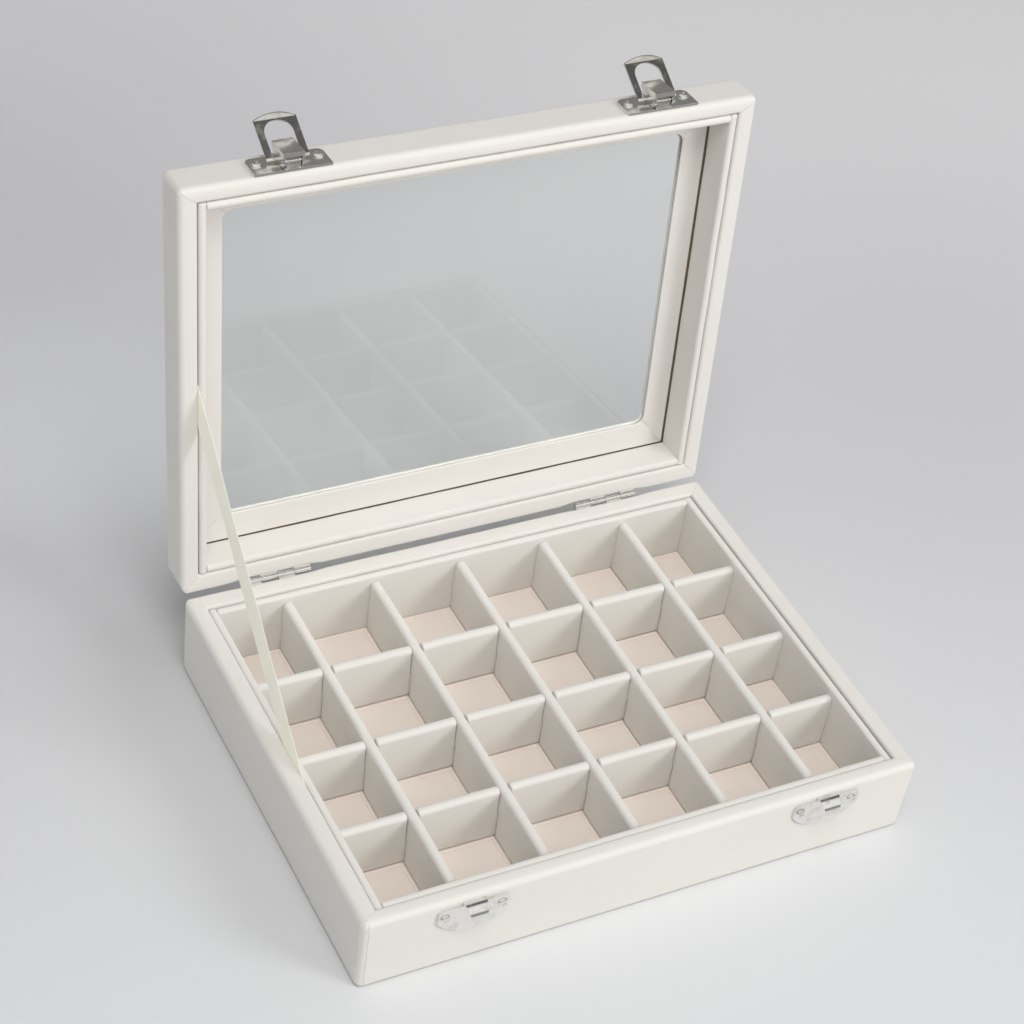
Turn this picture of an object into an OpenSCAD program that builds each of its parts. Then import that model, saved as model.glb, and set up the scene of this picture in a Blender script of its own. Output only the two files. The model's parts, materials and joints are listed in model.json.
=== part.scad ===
// Ring display box: a shallow tray box with 24 cloth-covered compartments, a hinged
// window lid that stands open, two draw latches and a ribbon that holds the lid.
// X runs along the width, the front is -Y, and z = 0 is the face that it stands on.

/* [Box] */
// Outside width of base and lid
box_w = 200; // [180:1:260]
// Outside depth of base and lid
box_d = 150; // [135:1:200]
// Height of the base with its cloth
base_h = 30; // [26:0.5:50]
// Height of the lid with its cloth
lid_h = 14.6; // [14:0.2:24]
// Gap between the base rim and the closed lid
rim_gap = 0.4; // [0.3:0.1:1]
// Angle from closed at which the ribbon holds the lid
open_angle = 94.8; // [90:0.1:110]

/* [Walls and cloth] */
// Thickness of a side wall with the cloth on both faces
side_wall_t = 6.2; // [5.6:0.1:9]
// Thickness of a front or back wall with the cloth on both faces
end_wall_t = 5.2; // [5:0.1:9]
// Thickness of the padded velvet over the walls
cloth_t = 0.9; // [0.9:0.1:1.2]
// Thickness of the velvet on the top face of the lid
top_cloth_t = 0.5; // [0.4:0.1:0.9]
// Radius of the padded outer edges
edge_r = 2; // [1.4:0.1:2.1]
// Thickness of the cloth glued under the base
foot_cloth_t = 0.5; // [0.3:0.1:1]
// Thickness of the bottom board
bottom_t = 2.5; // [2:0.1:4]

/* [Liners] */
// Thickness of a velvet-covered liner strip
liner_t = 2.6; // [1.8:0.1:4]
// Width of the slot between a wall and its liner
slot_w = 0.4; // [0.4:0.05:1]
// How far the base liners stop below the rim
liner_drop = 0.8; // [0:0.1:2]

/* [Compartments] */
// Thickness of a covered divider
divider_t = 3.4; // [2.4:0.1:4.5]
// How far the dividers stop below the rim
divider_drop = 3; // [1.5:0.1:5]
// Radius of the padded top edges of a divider
divider_edge_r = 1.2; // [0.4:0.1:1.2]
// Distance between column dividers, as a share of the tray's inside width
column_share = 0.179; // [0.16:0.001:0.182]
// How far the middle column divider stands right of the centre
column_shift = -0.7; // [-2:0.1:2]
// Distance between row dividers, as a share of the tray's inside depth
row_share = 0.2545; // [0.23:0.0005:0.256]
// How far the row dividers stand behind the centre
row_shift = -1.1; // [-2:0.1:2]
// How far the middle row divider is set back from its even place
middle_row_shift = -1.4; // [-2:0.1:2]
// Thickness of the covered floor pad
floor_pad_t = 3; // [1.5:0.1:5]
// Play round the floor pad
floor_play = 0.1; // [0.05:0.05:0.4]
// Play on the tight side of a divider notch
notch_play = 0.1; // [0.05:0.05:0.3]
// Gap on the loose side of a divider notch
notch_gap = 0.6; // [0.2:0.1:1.2]

/* [Window] */
// Border from the side of the lid to the window
window_side = 18.8; // [14:0.1:26]
// Border from the front of the lid to the window
window_front = 16.4; // [14:0.1:26]
// Border from the back of the lid to the window
window_back = 18.8; // [14:0.1:26]
// Radius of the window corners
window_r = 3; // [1:0.5:6]
// Thickness of the glass
glass_t = 1; // [0.8:0.1:2]
// Width of the glass held all round
glass_seat = 4; // [2:0.5:4.5]
// Play round the glass in its rebate
glass_play = 0.2; // [0.1:0.05:0.5]
// Thickness of the board lip over the glass
glass_lip_t = 0.5; // [0.3:0.1:1]
// Thickness of the velvet-covered card frame under the glass
card_t = 0.6; // [0.5:0.1:1.5]

/* [Hinges] */
// Distance between the middles of the two hinges
hinge_spacing = 127; // [90:1:150]
// How far the pair of hinges sits right of the centre
hinge_shift = -2.2; // [-5:0.1:5]
// Length of a hinge
hinge_l = 24.4; // [18:0.2:32]
// Distance from the back face to the hinge axis
hinge_back = 2; // [1.9:0.1:2.6]
// Radius of the hinge barrel
barrel_r = 1.2; // [1.1:0.05:1.4]
// Radius of the hinge pin
hinge_pin_r = 0.7; // [0.5:0.05:0.8]
// Gap between two knuckles
knuckle_gap = 0.15; // [0.1:0.05:0.4]
// Running clearance round the pins, on the radius
pin_play = 0.05; // [0.02:0.01:0.09]
// Thickness of a hinge leaf
leaf_t = 0.6; // [0.4:0.1:0.8]
// Height of a hinge leaf from the axis
leaf_h = 9.4; // [8:0.2:12]
// Distance between the two screws of a leaf
leaf_screw_spacing = 14; // [10:0.5:18]
// Distance from the axis to the screws of a leaf
leaf_screw_drop = 5.8; // [5:0.1:7]

/* [Screws] */
// Radius of a screw head
head_r = 1.9; // [1.5:0.1:2.2]
// Height of a screw head
head_h = 0.8; // [0.5:0.1:1.2]
// Radius of a screw shank
shank_r = 0.8; // [0.6:0.05:1]
// Length of a screw below the face that it holds
shank_l = 3.4; // [2.5:0.1:4]
// Play round a shank, on the radius
shank_play = 0.05; // [0.02:0.01:0.1]
// Width of the cross recess
recess_w = 0.5; // [0.3:0.1:0.7]
// Depth of the cross recess
recess_depth = 0.45; // [0.2:0.05:0.5]

/* [Latches] */
// Distance between the middles of the two latches
latch_spacing = 127.8; // [90:0.2:150]
// How far the pair of latches sits right of the centre
latch_shift = 1.2; // [-5:0.1:5]
// Width of a latch plate
latch_plate_w = 25.5; // [23:0.5:30]
// Height of a latch plate
latch_plate_h = 9.7; // [9.2:0.1:11]
// Distance from the lid rim to the latch plate
latch_plate_up = 0.9; // [0.8:0.1:1.6]
// Radius of the outer corners of a latch plate
latch_corner_r = 2.2; // [0.5:0.1:4]
// Thickness of the stamped plates
plate_t = 0.8; // [0.6:0.1:1]
// Distance between the two screws of a latch plate
latch_screw_spacing = 20.2; // [19:0.1:22]
// Distance from the lid rim to the latch screws
latch_screw_up = 6.5; // [5:0.1:8]
// Thickness of the lever and loop sheet
sheet_t = 0.7; // [0.5:0.05:0.8]
// Outside width of the lever
lever_w = 7; // [6.6:0.1:7.4]
// Length of the lever
lever_l = 9.8; // [9:0.1:11]
// Height of the lever at its mouth above the lid face
lever_top = 6; // [5.6:0.1:6.6]
// Drop of the lever top towards its far end
lever_fall = 0.5; // [0:0.1:1]
// Distance from the lid rim to the lever pin
lever_pin_up = 2.7; // [2.6:0.05:3]
// Distance from the lid face to the lever pin
lever_pin_out = 2.6; // [2.5:0.05:2.8]
// Radius of the lever pin
lever_pin_r = 0.5; // [0.4:0.05:0.6]
// Gap between the lever and the plate under it
lever_gap = 0.3; // [0.2:0.05:0.4]
// Thickness of the two ears that hold the lever pin
ear_t = 0.5; // [0.4:0.05:0.6]
// Gap between an ear and the inside of the lever
ear_gap = 0.3; // [0.2:0.05:0.4]
// Metal left round the pin's hole in an ear
ear_wall = 0.45; // [0.35:0.05:0.5]
// How far the lever's top is turned down at its mouth
lever_apron = 2.4; // [1.5:0.1:2.4]
// How far the lever opens
lever_swing = 85; // [60:1:88]

/* [Latch loops] */
// Outside width of the loop
loop_w = 14; // [13.4:0.1:15]
// Width of the hole in the loop
loop_hole_w = 9.4; // [8.8:0.1:9.6]
// Radius of the outer corners of the loop hole
loop_hole_r = 4.3; // [2:0.1:4.3]
// Distance from the lid rim to the loop feet
loop_pivot_up = 6.2; // [6:0.05:6.4]
// Distance from the lid face to the loop feet
loop_pivot_out = 1.9; // [1.8:0.05:2]
// Distance from the feet to the end of the loop hole
loop_hole_reach = 12.5; // [12.3:0.05:12.7]
// Width of the band between the hole and the bent lip
loop_band = 0.7; // [0.5:0.05:0.9]
// Height of the curved lip
loop_lip_h = 2; // [1.2:0.1:2.1]
// Angle of the bent lip
loop_lip_angle = 59; // [50:1:70]
// Radius of the loop feet
loop_foot_r = 0.5; // [0.35:0.05:0.55]
// Angle of the loop above the lid face when folded back
loop_rest_angle = 33; // [25:1:40]

/* [Catches] */
// Width of a catch plate
catch_w = 24.6; // [22:0.2:28]
// Height of a catch plate
catch_h = 11.8; // [10:0.1:14]
// How far the catch plate stops below the base rim
catch_drop = 3.2; // [2.6:0.1:4]
// Height of the straight ends of the catch plate
catch_end_h = 5.3; // [4:0.1:7]
// Radius of the upper corners of the catch plate
catch_corner_r = 2; // [0.5:0.1:2.4]
// Distance between the two screws of a catch
catch_screw_spacing = 19.6; // [17:0.1:21]
// Distance from the top of the catch plate to its screws
catch_screw_down = 3.7; // [3:0.1:5]
// Width of the bent hook where it leaves the plate
hook_w = 7.8; // [6.6:0.2:8]
// Width of the hook at its lip
hook_lip_w = 5.8; // [4.6:0.2:6]
// Radius of the hook's bend, to the middle of the sheet
hook_bend_r = 4; // [3.8:0.1:4.2]
// Height of the hook's lip below its bend
hook_lip_h = 0.4; // [0.2:0.1:0.6]

/* [Ribbon] */
// Width of the ribbon
ribbon_w = 11; // [8:0.5:14]
// Thickness of the ribbon
ribbon_t = 0.3; // [0.2:0.05:0.35]
// Distance from the hinge axis to the ribbon in the base
ribbon_base_out = 81.5; // [70:0.5:95]
// Distance from the hinge axis to the ribbon in the lid
ribbon_lid_out = 73.5; // [65:0.5:85]
// Length of ribbon glued in the base slot
ribbon_base_tuck = 10; // [6:0.5:14]
// Length of ribbon glued in the lid slot
ribbon_lid_tuck = 7; // [4:0.5:7]

/* [Hidden] */
$fn = 48;

cloth = "linen";
board = "burlywood";
nickel = "silver";

// Half sizes of the box, of the wooden cores and of the space inside the walls
half_w = box_w / 2;
half_d = box_d / 2;
core_w = half_w - cloth_t;
core_d = half_d - cloth_t;
inner_w = half_w - side_wall_t;
inner_d = half_d - end_wall_t;
wall_w = inner_w + cloth_t;
wall_d = inner_d + cloth_t;
liner_w = inner_w - slot_w;
liner_d = inner_d - slot_w;
tray_w = liner_w - liner_t;
tray_d = liner_d - liner_t;

// Heights in the base
board_top = foot_cloth_t + bottom_t;
floor_top = board_top + floor_pad_t;
liner_top = base_h - liner_drop;
divider_top = base_h - divider_drop;
divider_mid = (floor_top + divider_top) / 2;

// Heights in the closed lid
rim_z = base_h + rim_gap;
lid_top_z = rim_z + lid_h;
top_board_z = lid_top_z - top_cloth_t;
glass_top_z = top_board_z - glass_lip_t;
glass_z = glass_top_z - glass_t;
card_z = glass_z - card_t;

// Hinge axis, and where the closed lid meets the base
hinge_y = half_d + hinge_back;
hinge_z = base_h + rim_gap / 2;
pitch_k = hinge_l / 4;

// Places of the compartment dividers
column_pitch = column_share * 2 * tray_w;
row_pitch = row_share * 2 * tray_d;
column_x = [for (i = [-2:2]) column_shift + i * column_pitch];
row_y = [row_shift + row_pitch, row_shift + middle_row_shift, row_shift - row_pitch];

// Latch geometry, measured out from the front face and up from the rim
loop_reach = loop_hole_reach + loop_band;
eps = 0.01;

function latch_x(side) = latch_shift + side * latch_spacing / 2;
function hinge_x(side) = hinge_shift + side * hinge_spacing / 2;
function turned(y, z, a) = [
    hinge_y + (y - hinge_y) * cos(a) + (z - hinge_z) * sin(a),
    hinge_z - (y - hinge_y) * sin(a) + (z - hinge_z) * cos(a)
];

// Turns the closed lid about the hinge axis to where the ribbon holds it
module lid_open() {
    translate([0, hinge_y, hinge_z])
        rotate([-open_angle, 0, 0])
            translate([0, -hinge_y, -hinge_z])
                children();
}

// Draws a (y, z) outline and extrudes it along X about the middle
module along_x(length) {
    translate([-length / 2, 0, 0])
        rotate([90, 0, 90])
            linear_extrude(length)
                children();
}

// Draws an (x, z) outline and extrudes it from y = 0 towards the front
module facing_front(depth) {
    rotate([90, 0, 0])
        linear_extrude(depth)
            children();
}

module block(x0, x1, y0, y1, z0, z1) {
    translate([x0, y0, z0])
        cube([x1 - x0, y1 - y0, z1 - z0]);
}

// A box from -w to w and -d to d
module slab(w, d, z0, z1) {
    block(-w, w, -d, d, z0, z1);
}

// A rectangle with four round corners, from -w to w and from y0 to y1
module round_rect(w, y0, y1, r) {
    translate([-w + r, y0])
        square([2 * (w - r), y1 - y0]);
    translate([-w, y0 + r])
        square([2 * w, y1 - y0 - 2 * r]);
    for (x = [-w + r, w - r])
        for (y = [y0 + r, y1 - r])
            translate([x, y])
                circle(r);
}

// Half the outline of a padded post of height h: round at the top, and below if low is true
module pad_outline(h, low) {
    translate([0, low ? edge_r : 0])
        square([edge_r, h - (low ? 2 : 1) * edge_r]);
    for (z = low ? [edge_r, h - edge_r] : [h - edge_r])
        intersection() {
            translate([0, z])
                circle(edge_r);
            translate([0, z - (z > edge_r ? 0 : edge_r)])
                square([edge_r, edge_r]);
        }
}

// The padded outside of the base or of the lid, filled in
module padded_body(h, low) {
    w = half_w - edge_r;
    d = half_d - edge_r;
    slab(w, d, 0, h);
    for (s = [0, 1]) {
        mirror([s, 0, 0])
            translate([w, d, 0])
                rotate([90, 0, 0])
                    linear_extrude(2 * d)
                        pad_outline(h, low);
        mirror([0, s, 0])
            translate([-w, d, 0])
                rotate([90, 0, 90])
                    linear_extrude(2 * w)
                        pad_outline(h, low);
        for (t = [0, 1])
            mirror([s, 0, 0])
                mirror([0, t, 0])
                    translate([w, d, 0])
                        rotate_extrude()
                            pad_outline(h, low);
    }
}

// A screw along -Y with its head on the plane y = 0, through a plate of thickness t
module screw(t) {
    difference() {
        union() {
            rotate([90, 0, 0])
                cylinder(h = head_h * 0.45, r = head_r);
            translate([0, -head_h * 0.45, 0])
                rotate([90, 0, 0])
                    cylinder(h = head_h * 0.55, r1 = head_r, r2 = head_r * 0.62);
        }
        for (a = [45, 135])
            translate([0, -head_h - eps, 0])
                rotate([0, a, 0])
                    translate([-head_r * 0.6, 0, -recess_w / 2])
                        cube([head_r * 1.2, recess_depth + eps, recess_w]);
    }
    translate([0, -eps, 0])
        rotate([-90, 0, 0])
            cylinder(h = shank_l + t + eps, r = shank_r);
}

// The bore that a screw shank passes, from y = 0 towards the back
module screw_bore() {
    translate([0, -3 * plate_t, 0])
        rotate([-90, 0, 0])
            cylinder(h = shank_l + 3 * plate_t + shank_play, r = shank_r + shank_play);
}

// Where each pair of screws stands on the front of the base or of the lid
module catch_screw_places() {
    for (side = [-1, 1])
        for (s = [-1, 1])
            translate([latch_x(side) + s * catch_screw_spacing / 2, -half_d,
                       base_h - catch_drop - catch_screw_down])
                children();
}

module latch_screw_places() {
    for (side = [-1, 1])
        for (s = [-1, 1])
            translate([latch_x(side) + s * latch_screw_spacing / 2, -half_d,
                       rim_z + latch_screw_up])
                children();
}

// Screws of the hinge leaves on the back: up is -1 for the base leaf and 1 for the lid leaf
module leaf_screw_places(up) {
    for (side = [-1, 1])
        for (s = [-1, 1])
            translate([hinge_x(side) + s * leaf_screw_spacing / 2, half_d,
                       hinge_z + up * leaf_screw_drop])
                rotate([0, 0, 180])
                    children();
}

// Base

module bottom_cover() {
    color(cloth)
        linear_extrude(foot_cloth_t)
            round_rect(half_w, -half_d, half_d, edge_r);
}

module bottom_board() {
    color(board)
        slab(core_w, core_d, foot_cloth_t, board_top);
}

// Front is -1 and back is 1
module base_end_wall(s) {
    color(board)
        difference() {
            block(-wall_w, wall_w, min(s * wall_d, s * core_d), max(s * wall_d, s * core_d),
                  board_top, base_h - cloth_t);
            if (s < 0)
                catch_screw_places()
                    screw_bore();
            else
                leaf_screw_places(-1)
                    screw_bore();
        }
}

module base_side_wall(s) {
    color(board)
        block(min(s * wall_w, s * core_w), max(s * wall_w, s * core_w), -core_d, core_d,
              board_top, base_h - cloth_t);
}

module base_wrap() {
    color(cloth)
        difference() {
            translate([0, 0, foot_cloth_t])
                padded_body(base_h - foot_cloth_t, false);
            difference() {
                slab(core_w, core_d, foot_cloth_t - 1, base_h - cloth_t);
                slab(wall_w, wall_d, board_top, base_h);
            }
            slab(inner_w, inner_d, board_top - 1, base_h + 1);
            catch_screw_places()
                screw_bore();
            leaf_screw_places(-1)
                screw_bore();
        }
}

module base_end_liner(s) {
    color(cloth)
        block(-tray_w, tray_w, min(s * tray_d, s * liner_d), max(s * tray_d, s * liner_d),
              board_top, liner_top);
}

module base_side_liner(s) {
    color(cloth)
        block(min(s * tray_w, s * liner_w), max(s * tray_w, s * liner_w), -liner_d, liner_d,
              board_top, liner_top);
}

module floor_pad() {
    color("antiquewhite")
        slab(tray_w - floor_play, tray_d - floor_play, board_top, floor_top);
}

// Upright strip with two padded top edges, drawn across its thickness
module divider_outline(z0, z1) {
    r = divider_edge_r;
    translate([-divider_t / 2, z0])
        square([divider_t, z1 - r - z0]);
    translate([-divider_t / 2 + r, z0])
        square([divider_t - 2 * r, z1 - z0]);
    for (s = [-1, 1])
        translate([s * (divider_t / 2 - r), z1 - r])
            circle(r);
}

// A column divider is notched from below, where the row dividers pass
module column_divider(i) {
    color(cloth)
        difference() {
            translate([column_x[i - 1], tray_d, 0])
                rotate([90, 0, 0])
                    linear_extrude(2 * tray_d)
                        divider_outline(floor_top, divider_top);
            for (y = row_y)
                block(column_x[i - 1] - divider_t, column_x[i - 1] + divider_t,
                      y - divider_t / 2 - notch_play, y + divider_t / 2 + notch_play,
                      floor_top - 1, divider_mid + notch_play);
        }
}

// A row divider is notched from above, a little wider than the column that drops in
module row_divider(j) {
    color(cloth)
        difference() {
            translate([0, row_y[j - 1], 0])
                rotate([90, 0, 90])
                    translate([0, 0, -tray_w])
                        linear_extrude(2 * tray_w)
                            divider_outline(floor_top, divider_top);
            for (x = column_x)
                block(x - divider_t / 2 - notch_play, x + divider_t / 2 + notch_gap,
                      row_y[j - 1] - divider_t, row_y[j - 1] + divider_t,
                      divider_mid, base_h);
        }
}

// Hinges

// Half of a knuckled leaf: up is -1 for the base leaf, whose knuckles are the first and
// third, and 1 for the lid leaf, whose knuckles are the second and fourth
module leaf(side, up) {
    first = up < 0 ? 0 : 1;
    color(nickel)
        difference() {
            union() {
                translate([hinge_x(side), 0, 0])
                    block(-hinge_l / 2, hinge_l / 2, half_d, half_d + leaf_t,
                          min(hinge_z + up * leaf_h, hinge_z + up * (barrel_r + knuckle_gap)),
                          max(hinge_z + up * leaf_h, hinge_z + up * (barrel_r + knuckle_gap)));
                for (k = [first, first + 2])
                    translate([hinge_x(side) - hinge_l / 2 + k * pitch_k + knuckle_gap / 2, 0, 0]) {
                        block(0, pitch_k - knuckle_gap, half_d, hinge_y - barrel_r * 0.8,
                              min(hinge_z, hinge_z + up * (barrel_r + 2 * knuckle_gap)),
                              max(hinge_z, hinge_z + up * (barrel_r + 2 * knuckle_gap)));
                        translate([0, hinge_y, hinge_z])
                            rotate([0, 90, 0])
                                cylinder(h = pitch_k - knuckle_gap, r = barrel_r);
                    }
            }
            translate([hinge_x(side) - hinge_l, hinge_y, hinge_z])
                rotate([0, 90, 0])
                    cylinder(h = 2 * hinge_l, r = hinge_pin_r + pin_play);
            leaf_screw_places(up)
                screw_bore();
        }
}

module hinge_pin(side) {
    color(nickel)
        translate([hinge_x(side) - hinge_l / 2, hinge_y, hinge_z])
            rotate([0, 90, 0])
                cylinder(h = hinge_l, r = hinge_pin_r);
}

module leaf_screws(up) {
    color(nickel)
        leaf_screw_places(up)
            translate([0, -leaf_t, 0])
                screw(leaf_t);
}

// Catches

// The hook's side outline: it leaves the top of the plate and bends out and down in a
// quarter round over the place of the locked loop
hook_top = base_h - catch_drop + sheet_t;
hook_mid_z = hook_top - hook_bend_r;
hook_reach = hook_bend_r + sheet_t;

module hook_outline() {
    translate([-sheet_t / 2, hook_mid_z])
        intersection() {
            difference() {
                circle(hook_bend_r + sheet_t / 2);
                circle(hook_bend_r - sheet_t / 2);
            }
            translate([-2 * hook_bend_r, 0])
                square([2 * hook_bend_r, 2 * hook_bend_r]);
        }
    translate([-hook_reach, hook_mid_z - hook_lip_h])
        square([sheet_t, hook_lip_h + eps]);
    translate([-sheet_t, hook_top - 1.5])
        square([sheet_t, 1.5 + sheet_t / 2]);
}

// The hook seen from above narrows towards its lip
module hook() {
    intersection() {
        along_x(hook_w)
            hook_outline();
        translate([0, 0, hook_mid_z - 2 * hook_lip_h])
            linear_extrude(2 * hook_bend_r)
                polygon([[-hook_w / 2, 0], [-hook_w / 2, -sheet_t], [-hook_lip_w / 2, -hook_reach],
                         [hook_lip_w / 2, -hook_reach], [hook_w / 2, -sheet_t], [hook_w / 2, 0]]);
    }
}

module catch_plate(side) {
    top = base_h - catch_drop;
    low = top - catch_h;
    rise = catch_h - catch_end_h;
    arc_r = (pow(catch_w / 2, 2) + rise * rise) / (2 * rise);
    color(nickel)
        difference() {
            union() {
                translate([latch_x(side), -half_d, 0])
                    facing_front(plate_t)
                        intersection() {
                            round_rect(catch_w / 2, low - catch_corner_r, top, catch_corner_r);
                            translate([0, low + arc_r])
                                circle(arc_r);
                        }
                translate([latch_x(side), -half_d, 0])
                    hook();
            }
            catch_screw_places()
                screw_bore();
        }
}

module catch_screws() {
    color(nickel)
        catch_screw_places()
            translate([0, -plate_t, 0])
                screw(plate_t);
}

// Ribbon

// The two ends of the free ribbon in the open box
ribbon_a = [hinge_y - ribbon_base_out, base_h];
ribbon_b = turned(hinge_y - ribbon_lid_out, rim_z, open_angle);

module ribbon_stay() {
    d = ribbon_b - ribbon_a;
    color("honeydew")
        translate([-(inner_w + liner_w) / 2, 0, 0])
            along_x(ribbon_t)
                translate(ribbon_a)
                    rotate(atan2(d[1], d[0]))
                        translate([-ribbon_base_tuck, -ribbon_w / 2])
                            square([norm(d) + ribbon_base_tuck + ribbon_lid_tuck, ribbon_w]);
}

// Lid

module lid_end_rail(s) {
    color(board)
        lid_open()
            difference() {
                block(-wall_w, wall_w, min(s * wall_d, s * core_d), max(s * wall_d, s * core_d),
                      rim_z + cloth_t, glass_z);
                if (s < 0)
                    latch_screw_places()
                        screw_bore();
                else
                    leaf_screw_places(1)
                        screw_bore();
            }
}

module lid_side_rail(s) {
    color(board)
        lid_open()
            block(min(s * wall_w, s * core_w), max(s * wall_w, s * core_w), -core_d, core_d,
                  rim_z + cloth_t, glass_z);
}

// The window outline, made larger all round by more
module window(more) {
    round_rect(half_w - window_side + more, -half_d + window_front - more,
               half_d - window_back + more, window_r);
}

module lid_top_board() {
    color(board)
        lid_open()
            difference() {
                slab(core_w, core_d, glass_z, top_board_z);
                translate([0, 0, glass_z - 1])
                    linear_extrude(lid_h)
                        window(0);
                translate([0, 0, glass_z - 1])
                    linear_extrude(glass_t + 1)
                        window(glass_seat + glass_play);
            }
}

module lid_wrap() {
    color(cloth)
        lid_open()
            difference() {
                translate([0, 0, rim_z])
                    padded_body(lid_h, true);
                difference() {
                    slab(core_w, core_d, rim_z + cloth_t, top_board_z);
                    slab(wall_w, wall_d, rim_z, glass_z);
                }
                slab(inner_w, inner_d, rim_z - 1, glass_z + eps);
                translate([0, 0, rim_z])
                    linear_extrude(2 * lid_h)
                        window(0);
                latch_screw_places()
                    screw_bore();
                leaf_screw_places(1)
                    screw_bore();
            }
}

module lid_end_liner(s) {
    color(cloth)
        lid_open()
            block(-tray_w, tray_w, min(s * tray_d, s * liner_d), max(s * tray_d, s * liner_d),
                  rim_z, card_z);
}

module lid_side_liner(s) {
    color(cloth)
        lid_open()
            block(min(s * tray_w, s * liner_w), max(s * tray_w, s * liner_w), -liner_d, liner_d,
                  rim_z, card_z);
}

module window_card() {
    color(cloth)
        lid_open()
            difference() {
                slab(liner_w, liner_d, card_z, glass_z);
                translate([0, 0, card_z - 1])
                    linear_extrude(card_t + 2)
                        window(0);
            }
}

module glass_pane() {
    color("lightcyan", 0.4)
        lid_open()
            translate([0, 0, glass_z])
                linear_extrude(glass_t)
                    window(glass_seat);
}

// Latches

// Turns the frame so that an outline can be drawn out from the front face and up from the rim
module at_latch(side) {
    lid_open()
        translate([latch_x(side), -half_d, rim_z])
            children();
}

ear_in = lever_w / 2 - sheet_t - ear_gap;
lever_pin_at = [-lever_pin_out, lever_pin_up];
loop_pivot_at = [-loop_pivot_out, loop_pivot_up];
lever_round = lever_pin_out - plate_t - lever_gap;
lever_near = lever_pin_up - lever_round;
ear_r = lever_pin_r + pin_play + ear_wall;

module latch_plate(side) {
    color(nickel)
        at_latch(side)
            difference() {
                union() {
                    facing_front(plate_t) {
                        round_rect(latch_plate_w / 2, latch_plate_up,
                                   latch_plate_up + latch_plate_h, latch_corner_r);
                        translate([-latch_plate_w / 2, latch_plate_up])
                            square([latch_plate_w, latch_plate_h / 2]);
                    }
                    for (s = [-1, 1])
                        translate([s * (ear_in - ear_t / 2), 0, 0])
                            along_x(ear_t) {
                                translate(lever_pin_at)
                                    circle(ear_r);
                                translate([-lever_pin_out, lever_pin_up - ear_r])
                                    square([lever_pin_out - plate_t / 2, 2 * ear_r]);
                            }
                }
                along_x(lever_w)
                    translate(lever_pin_at)
                        circle(lever_pin_r + pin_play);
                for (s = [-1, 1])
                    translate([s * latch_screw_spacing / 2, 0, latch_screw_up])
                        screw_bore();
            }
}

module lever_pin(side) {
    color(nickel)
        at_latch(side)
            along_x(lever_w + ear_gap)
                translate(lever_pin_at)
                    circle(lever_pin_r);
}

module latch_screws() {
    color(nickel)
        lid_open()
            latch_screw_places()
                translate([0, -plate_t, 0])
                    screw(plate_t);
}

// The lever is a bent channel: a flat top that is turned down over the mouth, and two
// cheeks that taper to its far end
module lever(side) {
    far = lever_near + lever_l;
    near_top = [-lever_top, lever_near];
    far_top = [-lever_top + lever_fall, far];
    low = -(plate_t + lever_gap);
    color(nickel)
        at_latch(side)
            difference() {
                union() {
                    along_x(lever_w) {
                        polygon([near_top, far_top, far_top + [sheet_t, 0], near_top + [sheet_t, 0]]);
                        translate(near_top)
                            square([lever_apron, sheet_t]);
                    }
                    for (s = [-1, 1])
                        translate([s * (lever_w - sheet_t) / 2, 0, 0])
                            along_x(sheet_t) {
                                polygon([near_top, far_top, far_top + [1.3, 0],
                                         [low, loop_pivot_up + 1.2], [low, lever_pin_up],
                                         [-lever_pin_out, lever_near]]);
                                translate(lever_pin_at)
                                    circle(lever_round);
                            }
                }
                along_x(2 * lever_w)
                    translate(lever_pin_at)
                        circle(lever_pin_r + pin_play);
                along_x(2 * lever_w)
                    translate(loop_pivot_at)
                        circle(loop_foot_r + pin_play);
            }
}

// The flat of the loop, up from its feet: a frame with an arched hole that is open below
module loop_outline() {
    flat = loop_hole_w / 2 - loop_hole_r;
    difference() {
        translate([-loop_w / 2, 0])
            square([loop_w, loop_reach]);
        translate([-loop_hole_w / 2, -1])
            square([loop_hole_w, loop_hole_reach - loop_hole_r + 1]);
        translate([-flat, -1])
            square([2 * flat, loop_hole_reach + 1]);
        for (s = [-1, 1])
            translate([s * flat, loop_hole_reach - loop_hole_r])
                circle(loop_hole_r);
    }
}

// The curved lip, up from the crease
module lip_outline() {
    r = (pow(loop_w / 2, 2) + loop_lip_h * loop_lip_h) / (2 * loop_lip_h);
    intersection() {
        translate([0, loop_lip_h - r])
            circle(r);
        translate([-loop_w / 2, 0])
            square([loop_w, loop_lip_h + 1]);
    }
}

module loop(side) {
    color(nickel)
        at_latch(side)
            translate([0, -loop_pivot_out, loop_pivot_up])
                rotate([loop_rest_angle, 0, 0]) {
                    translate([0, sheet_t / 2, 0])
                        facing_front(sheet_t)
                            loop_outline();
                    translate([0, 0, loop_reach]) {
                        rotate([loop_lip_angle, 0, 0])
                            translate([0, sheet_t / 2, 0])
                                facing_front(sheet_t)
                                    lip_outline();
                        along_x(loop_w)
                            circle(sheet_t / 2);
                    }
                    for (s = [-1, 1])
                        translate([s * (loop_w + lever_w - 2 * sheet_t) / 4, 0, 0])
                            along_x((loop_w - lever_w + 2 * sheet_t) / 2)
                                circle(loop_foot_r);
                }
}

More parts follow.
